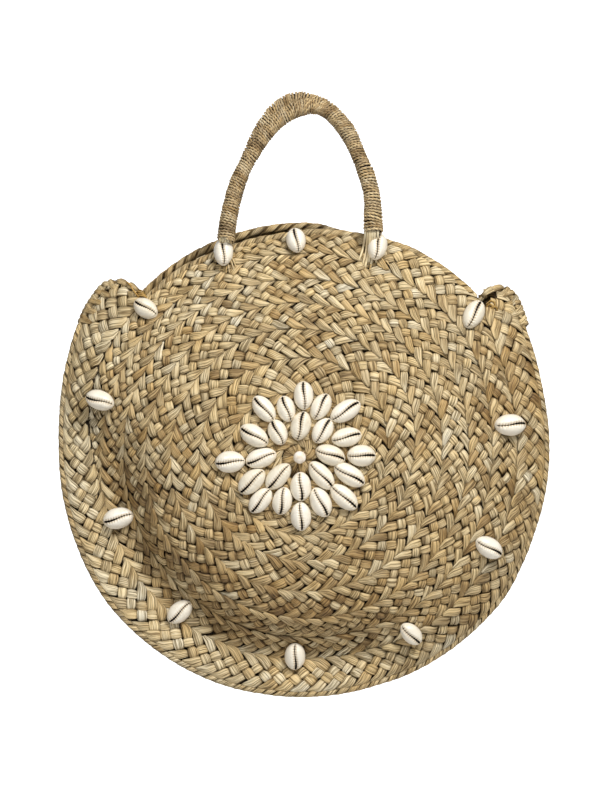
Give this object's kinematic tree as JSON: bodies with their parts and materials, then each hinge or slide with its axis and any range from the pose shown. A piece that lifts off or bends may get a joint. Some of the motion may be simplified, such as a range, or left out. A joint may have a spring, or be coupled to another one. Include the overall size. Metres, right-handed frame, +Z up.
{
  "type": "straw bag",
  "caption": "Round plaited straw bag with an open mouth between two ears, twine-wrapped rope handles, and cowrie shells sewn on the front in a flower and a border.",
  "frame": {"origin": "the hang point: underside of the handle crowns, where a hook or a hand carries the bag, on the middle plane of the rim seam", "axes": "+Z up along the height of the bag, the shell-covered front faces -Y, +X to the right seen from the front"},
  "size_m": [0.431, 0.1088, 0.5323],
  "materials": {
    "straw": "matte plaited straw",
    "handle_twine": "matte twisted twine",
    "rope_core": "matte rope",
    "raffia": "satin raffia",
    "cowrie": "polished shell",
    "pearl": "pearl lustre"
  },
  "bodies": {
    "bag": {"front_panel": "straw", "back_panel": "straw", "rim_seam": "straw", "left_ear": "straw", "right_ear": "straw", "pearl_bead": "pearl", "cowrie_flower_outer_n": "cowrie", "cowrie_flower_outer_nne": "cowrie", "cowrie_flower_outer_ne": "cowrie", "cowrie_flower_outer_ene": "cowrie", "cowrie_flower_outer_e": "cowrie", "cowrie_flower_outer_ese": "cowrie", "cowrie_flower_outer_se": "cowrie", "cowrie_flower_outer_sse": "cowrie", "cowrie_flower_outer_s": "cowrie", "cowrie_flower_outer_ssw": "cowrie", "cowrie_flower_outer_sw": "cowrie", "cowrie_flower_outer_wsw": "cowrie", "cowrie_flower_outer_w": "cowrie", "cowrie_flower_outer_wnw": "cowrie", "cowrie_flower_outer_nw": "cowrie", "cowrie_flower_outer_nnw": "cowrie", "cowrie_flower_inner_n": "cowrie", "cowrie_flower_inner_ne": "cowrie", "cowrie_flower_inner_e": "cowrie", "cowrie_flower_inner_se": "cowrie", "cowrie_flower_inner_s": "cowrie", "cowrie_flower_inner_sw": "cowrie", "cowrie_flower_inner_w": "cowrie", "cowrie_flower_inner_nw": "cowrie", "cowrie_border_02": "cowrie", "cowrie_border_03": "cowrie", "cowrie_border_04": "cowrie", "cowrie_border_05": "cowrie", "cowrie_border_06": "cowrie", "cowrie_border_07": "cowrie", "cowrie_border_08": "cowrie", "cowrie_border_09": "cowrie", "cowrie_border_10": "cowrie"},
    "front_mouth": {"front_mouth_flap": "straw", "front_mouth_edge": "straw", "front_left_lashing": "raffia", "front_right_lashing": "raffia", "cowrie_border_11": "cowrie", "cowrie_border_12": "cowrie", "cowrie_border_01": "cowrie"},
    "back_mouth": {"back_mouth_flap": "straw", "back_mouth_edge": "straw", "back_left_lashing": "raffia", "back_right_lashing": "raffia"},
    "front_handle": {"front_handle_wrap": "handle_twine", "front_handle_core": "rope_core"},
    "back_handle": {"back_handle_wrap": "handle_twine", "back_handle_core": "rope_core"}
  },
  "joints": [
    {"name": "front_mouth_flex", "type": "hinge", "parent": "bag", "child": "front_mouth", "pos_m": [0, -0.0416, -0.161], "axis": [1, 0, 0], "range_deg": [0, 20], "stiffness_Nm_per_rad": 1.5},
    {"name": "back_mouth_flex", "type": "hinge", "parent": "bag", "child": "back_mouth", "pos_m": [0, 0.0447, -0.161], "axis": [-1, 0, 0], "range_deg": [0, 20], "stiffness_Nm_per_rad": 1.5},
    {"name": "front_handle_swing", "type": "hinge", "parent": "front_mouth", "child": "front_handle", "pos_m": [-0.0672, -0.0385, -0.1014], "axis": [0.9993, 0, 0.0387], "range_deg": [0, 100]},
    {"name": "back_handle_swing", "type": "hinge", "parent": "back_mouth", "child": "back_handle", "pos_m": [-0.0693, 0.0375, -0.097], "axis": [-1, 0, 0], "range_deg": [0, 100]}
  ]
}
